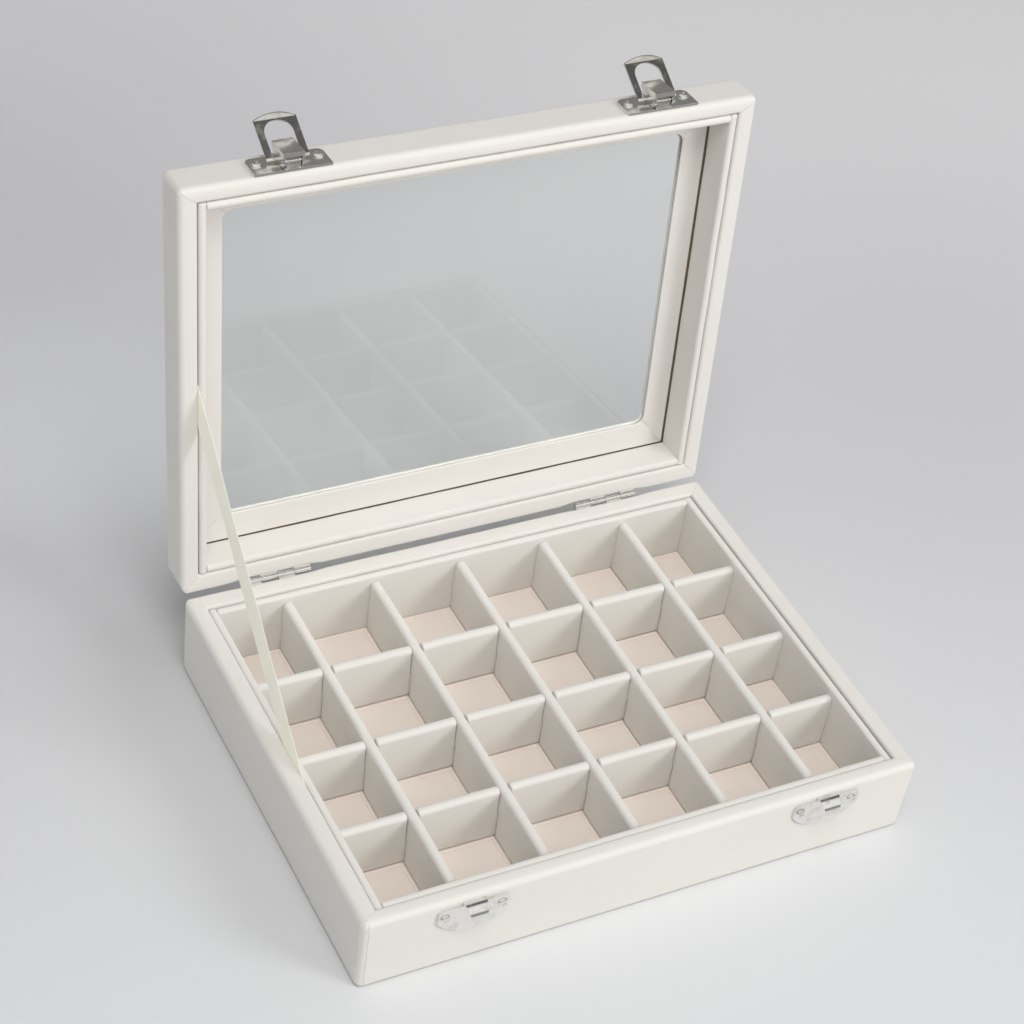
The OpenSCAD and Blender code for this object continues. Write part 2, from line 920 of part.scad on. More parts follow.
bottom_cover();
bottom_board();
base_end_wall(-1);  // base_front_wall
base_end_wall(1);  // base_back_wall
base_side_wall(-1);  // base_left_wall
base_side_wall(1);  // base_right_wall
base_wrap();
base_end_liner(-1);  // base_front_liner
base_end_liner(1);  // base_back_liner
base_side_liner(-1);  // base_left_liner
base_side_liner(1);  // base_right_liner
floor_pad();
column_divider(1);  // column_divider_1
column_divider(2);  // column_divider_2
column_divider(3);  // column_divider_3
column_divider(4);  // column_divider_4
column_divider(5);  // column_divider_5
row_divider(1);  // row_divider_1
row_divider(2);  // row_divider_2
row_divider(3);  // row_divider_3
leaf(-1, -1);  // hinge_base_leaf_left
leaf(1, -1);  // hinge_base_leaf_right
hinge_pin(-1);  // hinge_pin_left
hinge_pin(1);  // hinge_pin_right
leaf_screws(-1);  // base_hinge_screws
catch_plate(-1);  // catch_left
catch_plate(1);  // catch_right
catch_screws();
ribbon_stay();
lid_end_rail(-1);  // lid_front_rail
lid_end_rail(1);  // lid_back_rail
lid_side_rail(-1);  // lid_left_rail
lid_side_rail(1);  // lid_right_rail
lid_top_board();
lid_wrap();
lid_end_liner(-1);  // lid_front_liner
lid_end_liner(1);  // lid_back_liner
lid_side_liner(-1);  // lid_left_liner
lid_side_liner(1);  // lid_right_liner
window_card();
glass_pane();
lid_open() leaf(-1, 1);  // hinge_lid_leaf_left
lid_open() leaf(1, 1);  // hinge_lid_leaf_right
lid_open() leaf_screws(1);  // lid_hinge_screws
latch_plate(-1);  // latch_plate_left
latch_plate(1);  // latch_plate_right
lever_pin(-1);  // lever_pin_left
lever_pin(1);  // lever_pin_right
latch_screws();
lever(-1);  // lever_left
lever(1);  // lever_right
loop(-1);  // loop_left
loop(1);  // loop_right
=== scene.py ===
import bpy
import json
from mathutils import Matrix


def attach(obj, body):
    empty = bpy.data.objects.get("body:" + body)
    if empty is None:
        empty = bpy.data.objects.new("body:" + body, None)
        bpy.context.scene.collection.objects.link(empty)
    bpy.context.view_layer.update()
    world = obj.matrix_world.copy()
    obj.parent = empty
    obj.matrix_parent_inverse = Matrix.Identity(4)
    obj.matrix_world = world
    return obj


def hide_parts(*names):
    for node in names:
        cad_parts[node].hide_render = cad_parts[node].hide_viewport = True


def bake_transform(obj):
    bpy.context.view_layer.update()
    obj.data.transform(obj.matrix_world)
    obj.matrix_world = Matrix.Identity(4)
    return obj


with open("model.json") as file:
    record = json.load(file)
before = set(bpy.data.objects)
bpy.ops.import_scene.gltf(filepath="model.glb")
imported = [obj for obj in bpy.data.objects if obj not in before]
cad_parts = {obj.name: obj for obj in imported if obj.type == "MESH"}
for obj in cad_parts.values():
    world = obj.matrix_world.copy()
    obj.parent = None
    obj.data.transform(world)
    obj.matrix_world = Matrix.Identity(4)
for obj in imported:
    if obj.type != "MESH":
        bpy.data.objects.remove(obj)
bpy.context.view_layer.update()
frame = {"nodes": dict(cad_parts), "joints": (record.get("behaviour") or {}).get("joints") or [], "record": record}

import json
import math

import bmesh
import bpy
import numpy as np
from mathutils import Matrix, Vector, noise


# The table, the light and the camera. The box stands on a pale table and is seen from above,
# over its front left corner. Daylight comes from the right and the front.
MM = 0.001
scene = bpy.context.scene
scene.view_settings.view_transform = "Standard"


def look_from(place_mm, yaw, pitch, roll, focal_px, centre_py):
    """A camera from its place, its angles in degrees, and its focal length and the height of
    its optical centre in pixels of a picture of 1024."""
    y, p, r = (math.radians(v) for v in (yaw, pitch, roll))
    ahead = Vector((math.sin(y) * math.cos(p), math.cos(y) * math.cos(p), -math.sin(p)))
    level = Vector((math.cos(y), -math.sin(y), 0))
    over = level.cross(ahead)
    right = level * math.cos(r) + over * math.sin(r)
    up = over * math.cos(r) - level * math.sin(r)
    data = bpy.data.cameras.new("camera")
    data.sensor_width = 36
    data.lens = focal_px * 36 / 1024
    data.shift_y = (centre_py - 512) / 1024
    data.clip_start, data.clip_end = 0.05, 20
    camera = bpy.data.objects.new("camera", data)
    scene.collection.objects.link(camera)
    turn = Matrix((right, up, -ahead)).transposed()
    camera.matrix_world = Matrix.Translation(Vector(place_mm) * MM) @ turn.to_4x4()
    return camera


scene.camera = look_from((-325.0, -482.5, 592.9), yaw=33.11, pitch=45.55, roll=9.82,
                         focal_px=2434, centre_py=740)


class Socket:
    """A socket of a node tree that takes part in sums."""

    def __init__(self, graph, link):
        self.graph, self.link = graph, link

    def sum(self, operation, a, b=None):
        return self.graph.node("ShaderNodeMath", {"operation": operation},
                               (a,) if b is None else (a, b))

    def __add__(self, other):
        return self.sum("ADD", self, other)

    def __sub__(self, other):
        return self.sum("SUBTRACT", self, other)

    def __rsub__(self, other):
        return self.sum("SUBTRACT", other, self)

    def __mul__(self, other):
        return self.sum("MULTIPLY", self, other)

    def __truediv__(self, other):
        return self.sum("DIVIDE", self, other)

    def __pow__(self, other):
        return self.sum("POWER", self, other)

    __radd__ = __add__
    __rmul__ = __mul__

    def size(self):
        return self.sum("ABSOLUTE", self)

    def root(self):
        return self.sum("SQRT", self)

    def wave(self):
        return self.sum("SINE", self)

    def most(self, other):
        return self.sum("MAXIMUM", self, other)

    def rise(self, low, high):
        """0 below low and 1 above high, smooth between them."""
        return self.graph.node("ShaderNodeMapRange", {"interpolation_type": "SMOOTHSTEP"},
                               {"Value": self, "From Min": low, "From Max": high}, out="Result")


class Graph:
    """A node tree that is written as expressions."""

    def __init__(self, tree):
        self.tree = tree

    def node(self, kind, settings=None, values=(), out=0):
        made = self.tree.nodes.new(kind)
        for key, value in (settings or {}).items():
            setattr(made, key, value)
        pairs = values.items() if isinstance(values, dict) else enumerate(values)
        for key, value in pairs:
            self.feed(made.inputs[key], value)
        return Socket(self, made.outputs[out])

    def feed(self, into, value):
        for one in value if isinstance(value, list) else [value]:
            if isinstance(one, Socket):
                self.tree.links.new(one.link, into)
            else:
                into.default_value = one

    def parts(self, vector):
        split = self.node("ShaderNodeSeparateXYZ", values=(vector,)).link.node
        return [Socket(self, out) for out in split.outputs]

    def scaled(self, vector, by):
        return self.node("ShaderNodeVectorMath", {"operation": "MULTIPLY"}, (vector, by))

    def mix(self, share, a, b):
        made = self.tree.nodes.new("ShaderNodeMix")
        made.data_type = "RGBA"
        for key, value in (("Factor_Float", share), ("A_Color", a), ("B_Color", b)):
            self.feed([s for s in made.inputs if s.identifier == key][0], value)
        return Socket(self, [s for s in made.outputs if s.identifier == "Result_Color"][0])


class Finish(Graph):
    """A material with one Principled shader."""

    def __init__(self, name, **fixed):
        self.material = bpy.data.materials.new(name)
        self.material.use_nodes = True
        super().__init__(self.material.node_tree)
        self.shader = self.tree.nodes["Principled BSDF"]
        for key, value in fixed.items():
            self.shader.inputs[key.replace("_", " ")].default_value = value

    def point(self):
        return self.node("ShaderNodeTexCoord", out="Object")

    def noise(self, scale, detail, rough, at=None):
        return self.node("ShaderNodeTexNoise", {"noise_dimensions": "3D"},
                         {"Vector": at or self.point(), "Scale": scale, "Detail": detail,
                          "Roughness": rough})

    def bump(self, height, distance, strength=1.0):
        return self.node("ShaderNodeBump", values={"Height": height, "Distance": distance,
                                                   "Strength": strength}, out="Normal")

    def set(self, **fed):
        for key, value in fed.items():
            self.feed(self.shader.inputs[key.replace("_", " ")], value)
        return self.material

    def over(self, other, share):
        """Lays another shader over the Principled one."""
        both = self.node("ShaderNodeMixShader", values=(share,)).link.node
        self.tree.links.new(self.shader.outputs["BSDF"], both.inputs[1])
        self.tree.links.new(other.link, both.inputs[2])
        self.tree.links.new(both.outputs[0], self.tree.nodes["Material Output"].inputs["Surface"])


def rgb(r, g, b):
    """A colour as it looks on a screen, 0 to 255, as the shader wants it."""
    def plain(v):
        v /= 255
        return v / 12.92 if v <= 0.04045 else ((v + 0.055) / 1.055) ** 2.4
    return (plain(r), plain(g), plain(b), 1.0)


def shade(mesh, smooth_below):
    """Smooth faces, with edges above an angle in degrees kept sharp."""
    mesh.polygons.foreach_set("use_smooth", [True] * len(mesh.polygons))
    mesh.set_sharp_from_angle(angle=math.radians(smooth_below))


def piece(name, points_mm, faces, material, turn=None):
    """A mesh from points in millimetres, with its faces outwards and its sharp edges kept."""
    mesh = bpy.data.meshes.new(name)
    work = bmesh.new()
    verts = [work.verts.new(Vector(p) * MM) for p in points_mm]
    for face in faces:
        work.faces.new([verts[i] for i in face])
    bmesh.ops.recalc_face_normals(work, faces=work.faces)
    work.to_mesh(mesh)
    work.free()
    if turn:
        mesh.transform(turn)
    shade(mesh, smooth_below=40)
    mesh.materials.append(material)
    made = bpy.data.objects.new(name, mesh)
    scene.collection.objects.link(made)
    return made


def lamp(name, place, aim, size, watts):
    """A soft lamp. Metal mirrors the room's window in its place."""
    data = bpy.data.lights.new(name, "AREA")
    data.shape, data.size, data.energy = "DISK", size, watts
    made = bpy.data.objects.new(name, data)
    scene.collection.objects.link(made)
    made.location = place
    made.rotation_euler = (Vector(aim) - Vector(place)).to_track_quat("-Z", "Y").to_euler()
    made.visible_glossy = False


def table_finish():
    """A matt sheet with painted light: lighter towards the back, with painted shadows behind the box
    and on the right. To glossy rays only, it is painted dark grey from about 0.2 m in front of the
    box, a painted reflection, which metal mirrors as the room's dark floor."""
    made = Finish("table", Roughness=0.9, Specular_IOR_Level=0.1)
    x, y, _ = made.parts(made.point())

    # A painted shadow: a soft pool of darker colour, darkest at its middle.
    def painted_shadow(at_x, at_y, reach):
        dx, dy = (x - at_x) * (1 / reach), (y - at_y) * (1 / reach)
        return (1 - dx * dx - dy * dy).most(0.0) ** 2.0

    # Painted light: the sheet is lighter towards the back; then two painted shadows, behind the box and on its
    # right.
    sheet = made.mix(y.rise(-0.1, 0.35), rgb(221, 222, 222), rgb(228, 228, 228))
    sheet = made.mix(painted_shadow(-0.12, 0.28, 0.4), sheet, rgb(203, 203, 204))
    sheet = made.mix(painted_shadow(0.26, 0.08, 0.3), sheet, rgb(209, 209, 210))
    # Painted reflection: only glossy rays see the front of the sheet dark grey.
    mirrored = made.node("ShaderNodeLightPath", out="Is Glossy Ray")
    sheet = made.mix((0 - y).rise(0.18, 0.25) * mirrored, sheet, rgb(128, 128, 128))
    tone = made.noise(3.0, 1, 0.4)
    return made.set(Base_Color=made.mix(tone * 0.1, sheet, rgb(206, 206, 207)))


def studio():
    """Soft light, less from the back. Metal mirrors grey walls, a bright ceiling with a dark
    patch, which the loops show, and a window in front."""
    world = bpy.data.worlds.new("studio")
    scene.world = world
    world.use_nodes = True
    graph = Graph(world.node_tree)
    right, back, up = graph.parts(graph.node("ShaderNodeTexCoord", out="Generated"))
    room = graph.mix(up.rise(0.45, 0.75), (0.2, 0.2, 0.195, 1), (0.7, 0.7, 0.69, 1))
    window = (0 - back).rise(0.25, 0.45) * up.rise(0.1, 0.25)
    room = graph.mix(window, room, (0.84, 0.84, 0.83, 1))
    towards_patch = right * 0.425 - back * 0.024 + up * 0.905
    room = graph.mix(towards_patch.rise(0.974, 0.989), room, (0.07, 0.07, 0.065, 1))
    soft = graph.mix(back.rise(-0.4, 0.7), (0.65, 0.65, 0.66, 1), (0.22, 0.22, 0.23, 1))
    mirrored = graph.node("ShaderNodeLightPath", out="Is Glossy Ray")
    background = world.node_tree.nodes["Background"]
    graph.feed(background.inputs["Color"], graph.mix(mirrored, soft, room))
    background.inputs["Strength"].default_value = 1.0


reach, under = 3000, -0.2
table = piece("table", [(-reach, -reach, under), (reach, -reach, under), (reach, reach, under),
                        (-reach, reach, under)], [(0, 1, 2, 3)], table_finish())
studio()
lamp("overhead", (-0.25, -0.55, 1.45), aim=(0, 0, 0.05), size=0.7, watts=8.3)
lamp("daylight", (0.9, -1.15, 0.9), aim=(0, 0, 0.08), size=0.7, watts=9.5)


# The boards. The bottom, the walls, the rails and the lid's top are sawn fibreboard, butted
# and glued, and the velvet hides them. A rebate under the lid's top holds the glass.
slots = {row["node"]: row["material_slot"] for row in frame["record"]["subparts"]}


def board_finish():
    made = Finish("board", Roughness=0.8, Specular_IOR_Level=0.3)
    fibres = made.noise(1.0, 4, 0.65, at=made.scaled(made.point(), (300, 900, 900)))
    flecks = made.noise(2600, 2, 0.6)
    tone = (fibres * 0.75 + flecks * 0.25).rise(0.3, 0.7)
    # The browns are darker and greyer than the board's own: partly its colour, partly painted shade for the narrow
    # gap beside the window card, where it shows.
    return made.set(Base_Color=made.mix(tone, rgb(118, 98, 76), rgb(148, 126, 101)),
                    Roughness=0.72 + flecks * 0.2,
                    Normal=made.bump(fibres + flecks, 0.00008))


def coat(node, material):
    """Gives a CAD node its finish."""
    materials = frame["nodes"][node].data.materials
    materials.clear()
    materials.append(material)


board = board_finish()
for name in frame["nodes"]:
    if slots[name] == "board":
        coat(name, board)


# The cloth under the base. It is one sheet of felt, cut a hair smaller than the base, glued
# over the turned-in edges of the velvet.
def cad_points(node, turn=None):
    """The mesh points of a CAD node in millimetres, before the turn."""
    back = turn.inverted() if turn else Matrix.Identity(4)
    return np.array([back @ v.co for v in frame["nodes"][node].data.vertices]) / MM


def corners(node, turn=None):
    """Lowest and highest corner of a CAD node in millimetres, before the turn."""
    spots = cad_points(node, turn)
    return Vector(spots.min(0)), Vector(spots.max(0))


NEAR_CORNER = (0, 0.3, 0.6, 0.9, 1.2, 1.6, 2.2, 3, 4.5, 7)
LONG_SIDE = 200
SIDE_STEPS = np.concatenate((NEAR_CORNER, np.linspace(11, LONG_SIDE - 11, 60),
                             LONG_SIDE - np.array(NEAR_CORNER[::-1]))) / LONG_SIDE
CORNER_SHARES = (0.14, 0.28, 0.43, 0.5, 0.57, 0.72, 0.86)
CORNER_STEPS = len(CORNER_SHARES) + 1
RING_QUARTER = len(SIDE_STEPS) + CORNER_STEPS - 1
MITRES = [k * RING_QUARTER + len(SIDE_STEPS) + CORNER_STEPS // 2 - 1 for k in range(4)]


def ring(w, y0, y1, r, z):
    """Points round a rectangle with round corners, from the front left, at height z."""
    sides = (((-w + r, y0), (w - r, y0)), ((w, y0 + r), (w, y1 - r)),
             ((w - r, y1), (-w + r, y1)), ((-w, y1 - r), (-w, y0 + r)))
    middles = ((w - r, y0 + r), (w - r, y1 - r), (-w + r, y1 - r), (-w + r, y0 + r))
    points = []
    for quarter, ((ax, ay), (bx, by)) in enumerate(sides):
        points += [(ax + (bx - ax) * t, ay + (by - ay) * t, z) for t in SIDE_STEPS]
        for share in CORNER_SHARES:
            a = math.pi / 2 * (quarter - 1 + share)
            x, y = middles[quarter]
            points.append((x + r * math.cos(a), y + r * math.sin(a), z))
    return points


def uneven(points, size, amount, seed):
    """The points moved a little, as cloth lies over a board."""
    shift = Vector((seed * 17.3, 0, 0))
    apart = (Vector((0, 0, 0)), Vector((31.7, 0, 0.4)), Vector((0.6, 57.1, 0)))
    moved = []
    for p in points:
        at = Vector(p) / size + shift
        moved.append(tuple(Vector(p) + Vector([noise.noise(at + far) for far in apart]) * amount))
    return moved


def hoop(name, rings, material, turn=None, capped=False):
    """A closed skin through a loop of rings, or from the first ring to the last."""
    count = len(rings[0])
    faces = []
    for i in range(len(rings) - (1 if capped else 0)):
        j = (i + 1) % len(rings)
        for k in range(count):
            m = (k + 1) % count
            faces.append((i * count + k, i * count + m, j * count + m, j * count + k))
    if capped:
        last = (len(rings) - 1) * count
        faces += [tuple(range(count - 1, -1, -1)), tuple(range(last, last + count))]
    return piece(name, [p for one in rings for p in one], faces, material, turn)


def dress(made, body, node):
    """Fixes a finished piece to its body, in place of its CAD node."""
    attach(made, body)
    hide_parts(node)


def felt_finish():
    made = Finish("foot_cloth", Roughness=1.0, Specular_IOR_Level=0.1, Sheen_Weight=0.2,
                  Sheen_Roughness=0.6)
    hairs = made.noise(1500, 4, 0.7)
    knots = made.noise(400, 3, 0.6)
    tone = (hairs * 0.6 + knots * 0.4).rise(0.35, 0.65)
    return made.set(Base_Color=made.mix(tone, rgb(186, 183, 174), rgb(212, 209, 200)),
                    Normal=made.bump(hairs + knots, 0.00015))


foot_hi = corners("bottom_cover")[1]
foot_inset = 0.35
foot_w, foot_d = foot_hi.x - foot_inset, foot_hi.y - foot_inset
foot_r = 1.6
foot_rings = [ring(foot_w - inset, -foot_d + inset, foot_d - inset, max(foot_r - inset, 0.5), z)
              for inset, z in ((12, 0.02), (0.25, 0.0), (0.06, 0.06), (0, 0.2),
                               (0, foot_hi.z - 0.05), (0.15, foot_hi.z), (12, foot_hi.z))]
bottom_cloth = hoop("cloth_under_base", foot_rings, felt_finish(), capped=True)
dress(bottom_cloth, "base", "bottom_cover")


# The velvet over the walls. One strip runs round the base, over a thin foam that rounds the
# rim. It is turned in under the bottom board, mitred at the rim's corners, and its cut edge
# is glued down on the front, just beside the left corner.
def velvet_finish(name, shade, light):
    """Short pile: a soft sheen, brushed patches and a fine grain of tips."""
    made = Finish(name, Roughness=0.95, Specular_IOR_Level=0.12, Sheen_Weight=0.3,
                  Sheen_Roughness=0.4)
    patches = made.noise(38, 2, 0.5)
    brushed = made.noise(1.0, 3, 0.6, at=made.scaled(made.point(), (70, 260, 260)))
    tips = made.noise(3000, 3, 0.7)
    tone = patches * 0.35 + brushed * 0.25 + tips * 0.4
    return made.set(Base_Color=made.mix(tone, shade, light),
                    Normal=made.bump(tips + brushed * 0.6, 0.00012, 0.5))


velvet = velvet_finish("velvet", rgb(222, 218, 211), rgb(232, 229, 223))
wrap_lo, wrap_hi = corners("base_wrap")
wall_lo, wall_hi = corners("base_right_wall")
cloth = wrap_hi.x - wall_hi.x
half_w, half_d, base_top = wrap_hi
inner_w, inner_d = wall_lo.x - cloth, corners("base_back_wall")[0].y - cloth
edge_r = 2.0
inner_r = 0.7
skin_t = 0.45
fold_depth = 0.3
turned_in = 8.0


def arc(kind, off, z, r, first, last, steps=6):
    """A round edge about the point (off, z), where off is measured outwards from an edge."""
    turn = [math.radians(first + (last - first) * k / steps) for k in range(steps + 1)]
    return [(kind, off + r * math.cos(a), z + r * math.sin(a)) for a in turn]


def upright(kind, off, start, end, steps=6):
    """A straight stretch at off from an edge, between two heights."""
    return [(kind, off, start + (end - start) * k / steps) for k in range(steps + 1)]


def skin(line, edges, thick):
    """Rings of a closed skin from a line of (kind, off, z), with the board on its left. Each
    kind has its outline (w, y0, y1) and corner radius in edges."""
    spots = np.array([(edges[kind][0][0] + off, z) for kind, off, z in line])
    ways = np.gradient(spots, axis=0)
    ways /= np.linalg.norm(ways, axis=1)[:, None]
    inner = spots + thick * np.stack((-ways[:, 1], ways[:, 0]), axis=1)
    kinds = [kind for kind, _, _ in line]
    rings = []
    for kind, (x, z) in list(zip(kinds, spots)) + list(zip(kinds, inner))[::-1]:
        (w, y0, y1), r = edges[kind]
        off = x - w
        rings.append(ring(w + off, y0 - off, y1 + off, max(r + off, 0.3), z))
    return rings


def fold_mitres(rings, which, depth):
    """Presses a crease into the corners of the rings named by which."""
    for i in which:
        for k in MITRES:
            x, y, z = rings[i][k]
            rings[i][k] = (x, y, z + depth)


def fuller_back(rings, line, rim, up, most):
    """Swells the foam along the back edge of a rim, which is pressed full there. By the hinges
    it stays lower than their leaves. up is 1 where the rim looks up and -1 where it looks
    down, and most is the swelling in millimetres."""
    by_hinges, beside, fade = 0.7, 13, 4
    reach, tight = 6, 0.3
    middles = [sum(v.x for v in corners("hinge_pin_" + side)) / 2 for side in ("left", "right")]
    for n, points in enumerate(rings):
        kind, off, z = line[n if n < len(line) else 2 * len(line) - 1 - n]
        deep = max((rim - z) * up, 0)
        if kind != "out" or deep > reach:
            continue
        out, down = 0.0, 0.0
        if deep < edge_r and off >= -edge_r:
            a = math.asin(1 - deep / edge_r)
            out = edge_r * (max(math.cos(a), 0) ** tight - math.cos(a))
            down = edge_r * (math.sin(a) - math.sin(a) ** tight)
        back = max(y for _, y, _ in points)
        for k, (x, y, z) in enumerate(points):
            share = min(max(1 - (back - y) / edge_r, 0), 1)
            clear = min(min(max((abs(x - m) - beside) / fade, 0), 1) for m in middles)
            swell = (by_hinges + (most - by_hinges) * clear) * min(max(1 + off / fade, 0), 1)
            swell *= math.exp(-(deep / 2) ** 2)
            points[k] = (x, y + share * (out + swell), z - share * down * up)


base_edges = {"out": ((half_w, -half_d, half_d), edge_r),
              "in": ((inner_w, -inner_d, inner_d), 0.3)}
low = wrap_lo.z
low_r = 0.7
base_line = ([("out", -turned_in, low + 0.02), ("out", -4, low)]
             + arc("out", -low_r, low + low_r, low_r, -90, 0)
             + upright("out", 0, low + 2, base_top - edge_r - 0.6)
             + arc("out", -edge_r, base_top - edge_r, edge_r, 0, 90)
             + [("out", -edge_r - 0.9, base_top + 0.06), ("in", inner_r + 0.5, base_top + 0.04)]
             + arc("in", inner_r, base_top - inner_r, inner_r, 90, 180)
             + upright("in", 0, base_top - inner_r - 0.8, wall_lo.z + 0.1))
base_rings = skin(base_line, base_edges, skin_t)
rim_rings = [i for i in range(len(base_line)) if base_line[i][2] > base_top - 1.0]
fold_mitres(base_rings, rim_rings, -fold_depth * 0.6)
fuller_back(base_rings, base_line, base_top, 1, 1.2)
seam_x = -half_w + edge_r
seam_step = 0.22


def glue_seam(points):
    """Lowers the cloth that comes round the front left corner, up to the cut edge."""
    done = []
    for x, y, z in points:
        near = x < seam_x + 0.01 and y < -half_d + edge_r
        done.append((x + seam_step * 0.6, y + seam_step, z) if near else (x, y, z))
    return done


base_rings[:len(base_line)] = [glue_seam(one) for one in base_rings[:len(base_line)]]
base_rings = [uneven(one, size=26, amount=0.10, seed=1) for one in base_rings]
base_velvet = hoop("velvet_over_base", base_rings, velvet)
dress(base_velvet, "base", "base_wrap")


# The liner strips of the base. Four strips of board in velvet stand a slot's width inside the
# walls, the side ones first and the end ones between them, and hold the tray together.
def strip_outline(t, z0, z1, r, middle):
    """Half-round topped outline across a strip, from its left foot over the top, as (a, z)."""
    half = t / 2
    foot = 0.2
    rise = [z0 + foot] + list(np.linspace(z0 + 1.5, middle - 0.05, 4)) \
        + list(np.linspace(middle + 0.05, z1 - r - 0.4, 4))
    bow = [(half - r + r * math.cos(a), z1 - r + r * math.sin(a))
           for a in np.radians(np.linspace(0, 90, 6))]
    right = [(half, z) for z in rise] + bow
    left = [(-a, z) for a, z in reversed(right)]
    crown = [(0, z1 + 0.05)]
    return [(-half + foot, z0)] + left[::-1] + crown + right[::-1] + [(half - foot, z0)]


def rounding(e, r):
    """How far a round edge of radius r lies back at a distance e from the end."""
    return r - math.sqrt(max(r * r - max(r - e, 0) ** 2, 0))


END_STEPS = (0, 0.06, 0.18, 0.38, 0.65, 1.0)
NOTCH_R = 0.45


def padded_strip(name, lo, hi, along, top_r, end_r, seed, notches=(), cut_above=True,
                 middle=None, turn=None, bulge=0.08):
    """A board in padded velvet from lo to hi. along is 0 or 1 for its long axis, notches are
    (first, last) stretches of it that are cut away above or below the middle."""
    across = 1 - along
    t = hi[across] - lo[across]
    centre = (hi[across] + lo[across]) / 2
    z0, z1 = lo[2], hi[2]
    middle = middle or (z0 + z1) / 2
    outline = strip_outline(t, z0, z1, top_r, middle)
    start, end = lo[along], hi[along]
    edges = [(start, end)] if not notches else \
        list(zip([start] + [n[1] for n in notches], [n[0] for n in notches] + [end]))
    stations = []
    for k, (a, b) in enumerate(edges):
        plain = list(np.linspace(a + 2, b - 2, max(int((b - a) / 3), 2)))
        body = [a + e for e in END_STEPS] + plain + [b - e for e in END_STEPS[::-1]]
        for s in body:
            ends = [(s - a, k == 0), (b - s, k == len(edges) - 1)]
            stations.append((s, ends, False))
        if k < len(edges) - 1:
            gap = (edges[k][1], edges[k + 1][0])
            stations += [(s, [], True) for s in np.linspace(gap[0], gap[1], 3)]
    rings = []
    for s, ends, cut in stations:
        whole = max([rounding(e, end_r) for e, outer in ends if outer] or [0])
        partly = max([rounding(e, NOTCH_R) for e, outer in ends if not outer] or [0])
        points = []
        for a, z in outline:
            held = (z > middle) if cut_above else (z < middle)
            if cut and held:
                z = middle
            back = whole + (partly if held else 0)
            puff = bulge * math.sin(math.pi * min(max((z - z0) / (z1 - z0), 0), 1))
            scale = (t / 2 - back + puff) / (t / 2)
            if not cut:
                z = z - back * max(z - middle, 0) / (z1 - middle)
            spot = [0, 0, z]
            spot[along], spot[across] = s, centre + a * scale
            points.append(tuple(spot))
        rings.append(uneven(points, size=14, amount=0.10, seed=seed))
    return hoop(name, rings, velvet, turn, capped=True)


def long_axis(lo, hi):
    return 0 if hi.x - lo.x > hi.y - lo.y else 1


LINER_END_R = 0.35
base_liner_r = 0.85
for n, side in enumerate(("front", "back", "left", "right")):
    lo, hi = corners("base_%s_liner" % side)
    strip = padded_strip("base_%s_strip" % side, lo, hi, long_axis(lo, hi), base_liner_r,
                         LINER_END_R, seed=10 + n)
    dress(strip, "base", "base_%s_liner" % side)


# The floor pad. It is one card with a thin foam under velvet. The dividers stand on it, so
# between them it swells a little, and it curls up along their feet.
def floor_lines(lo, hi, bars, half_t):
    """Grid lines across the pad, close together beside each divider."""
    beside = (0, 0.2, 0.4, 0.6, 0.8, 1.0, 1.15, 1.3, 1.5, 1.8, 2.4, 3.4)
    faces = [lo] + [v for bar in bars for v in (bar - half_t, bar + half_t)] + [hi]
    lines = []
    for a, b in zip(faces[::2], faces[1::2]):
        lines += [a + e for e in beside] + list(np.linspace(a + 5, b - 5, 8))
        lines += [b - e for e in beside[::-1]]
    return np.array(lines), faces


def near_edge(v, faces):
    """Distance from v to the nearest divider face, 0 under a divider."""
    for a, b in zip(faces[::2], faces[1::2]):
        if a <= v <= b:
            return min(v - a, b - v)
    return 0.0


def grid_rim(wide, deep):
    """The outer points of a grid in order."""
    return [i for i in range(wide)] + [j * wide + wide - 1 for j in range(1, deep)] \
        + [(deep - 1) * wide + i for i in range(wide - 2, -1, -1)] \
        + [j * wide for j in range(deep - 2, 0, -1)]


def swell(lo, hi, faces_x, faces_y, pitch, most):
    """Rise of the pad between the dividers, from a cloth simulation, as a lookup."""
    count_x = int((hi.x - lo.x) / pitch) + 1
    count_y = int((hi.y - lo.y) / pitch) + 1
    xs, ys = np.linspace(lo.x, hi.x, count_x), np.linspace(lo.y, hi.y, count_y)
    mesh = bpy.data.meshes.new("swelling pad")
    spots = [(x * MM, y * MM, z * MM) for z in (hi.z, lo.z) for y in ys for x in xs]
    layer = count_x * count_y
    faces = []
    for j in range(count_y - 1):
        for i in range(count_x - 1):
            k = j * count_x + i
            faces.append((k, k + 1, k + count_x + 1, k + count_x))
            k += layer
            faces.append((k, k + count_x, k + count_x + 1, k + 1))
    loop = grid_rim(count_x, count_y)
    for k, m in zip(loop, loop[1:] + loop[:1]):
        faces.append((k, k + layer, m + layer, m))
    mesh.from_pydata(spots, [], faces)
    pad = bpy.data.objects.new("swelling pad", mesh)
    scene.collection.objects.link(pad)
    held = pad.vertex_groups.new(name="held")
    for k, (x, y, _) in enumerate(spots):
        d = min(near_edge(x / MM, faces_x), near_edge(y / MM, faces_y))
        if k >= layer or d < pitch * 0.5:
            held.add([k], 1.0, "REPLACE")
    cloth_step = pad.modifiers.new("cloth", "CLOTH")
    settings = cloth_step.settings
    settings.quality = 5
    settings.mass = 0.15
    settings.tension_stiffness = settings.compression_stiffness = 15
    settings.bending_stiffness = 0.5
    settings.vertex_group_mass = "held"
    settings.use_pressure = True
    settings.uniform_pressure_force = 4
    settings.effector_weights.gravity = 0
    frames = 20
    cloth_step.point_cache.frame_start, cloth_step.point_cache.frame_end = 1, frames
    for step in range(1, frames + 1):
        scene.frame_set(step)
    puffed = pad.evaluated_get(bpy.context.evaluated_depsgraph_get()).to_mesh()
    heights = np.array([v.co.z for v in puffed.vertices[:layer]]) / MM - hi.z
    scene.frame_set(1)
    bpy.data.objects.remove(pad)
    heights = np.clip(heights, 0, None)
    if heights.max() > 0:
        heights *= min(1.0, most / heights.max())
    return xs, ys, heights.reshape(count_y, count_x)
